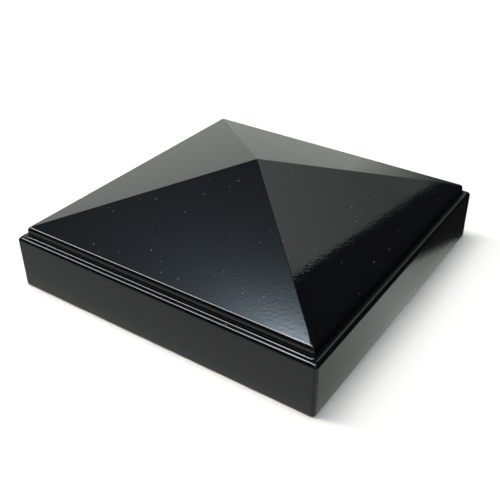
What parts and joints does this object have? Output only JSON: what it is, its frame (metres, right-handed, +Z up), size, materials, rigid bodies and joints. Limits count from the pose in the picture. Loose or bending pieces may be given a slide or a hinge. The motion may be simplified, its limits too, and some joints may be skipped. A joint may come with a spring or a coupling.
{
  "type": "fence post cap",
  "caption": "Square low-pyramid cap for a square steel fence post: cast crown on a plain skirt, with a moulded insert, rubber seat and grips that hold it inside the tube",
  "frame": {"origin": "middle of the skirt's lower rim, on the rim's plane", "axes": "+Z up along the post towards the roof's point; X and Y square to the flat sides of the cap, with -Y the front side and +X the right side"},
  "size_m": [0.1186, 0.1186, 0.0413],
  "materials": {
    "powder_coat": "gloss black powder coat with a fine orange peel, over die-cast aluminium",
    "insert_nylon": "black moulded nylon with a fine spark-eroded texture",
    "seal_rubber": "black EPDM sheet, satin, cut edges",
    "grip_rubber": "dark grey moulded soft rubber",
    "stainless_steel": "plain stainless steel"
  },
  "bodies": {
    "root": {"crown": "powder_coat", "skirt": "powder_coat", "crown_seal": "seal_rubber", "seat_pad": "seal_rubber", "post_insert": "insert_nylon", "grip_strip_front": "grip_rubber", "grip_strip_back": "grip_rubber", "grip_strip_left": "grip_rubber", "grip_strip_right": "grip_rubber", "washer_1": "stainless_steel", "insert_screw_1": "stainless_steel", "washer_2": "stainless_steel", "insert_screw_2": "stainless_steel", "washer_3": "stainless_steel", "insert_screw_3": "stainless_steel", "washer_4": "stainless_steel", "insert_screw_4": "stainless_steel"}
  },
  "joints": []
}
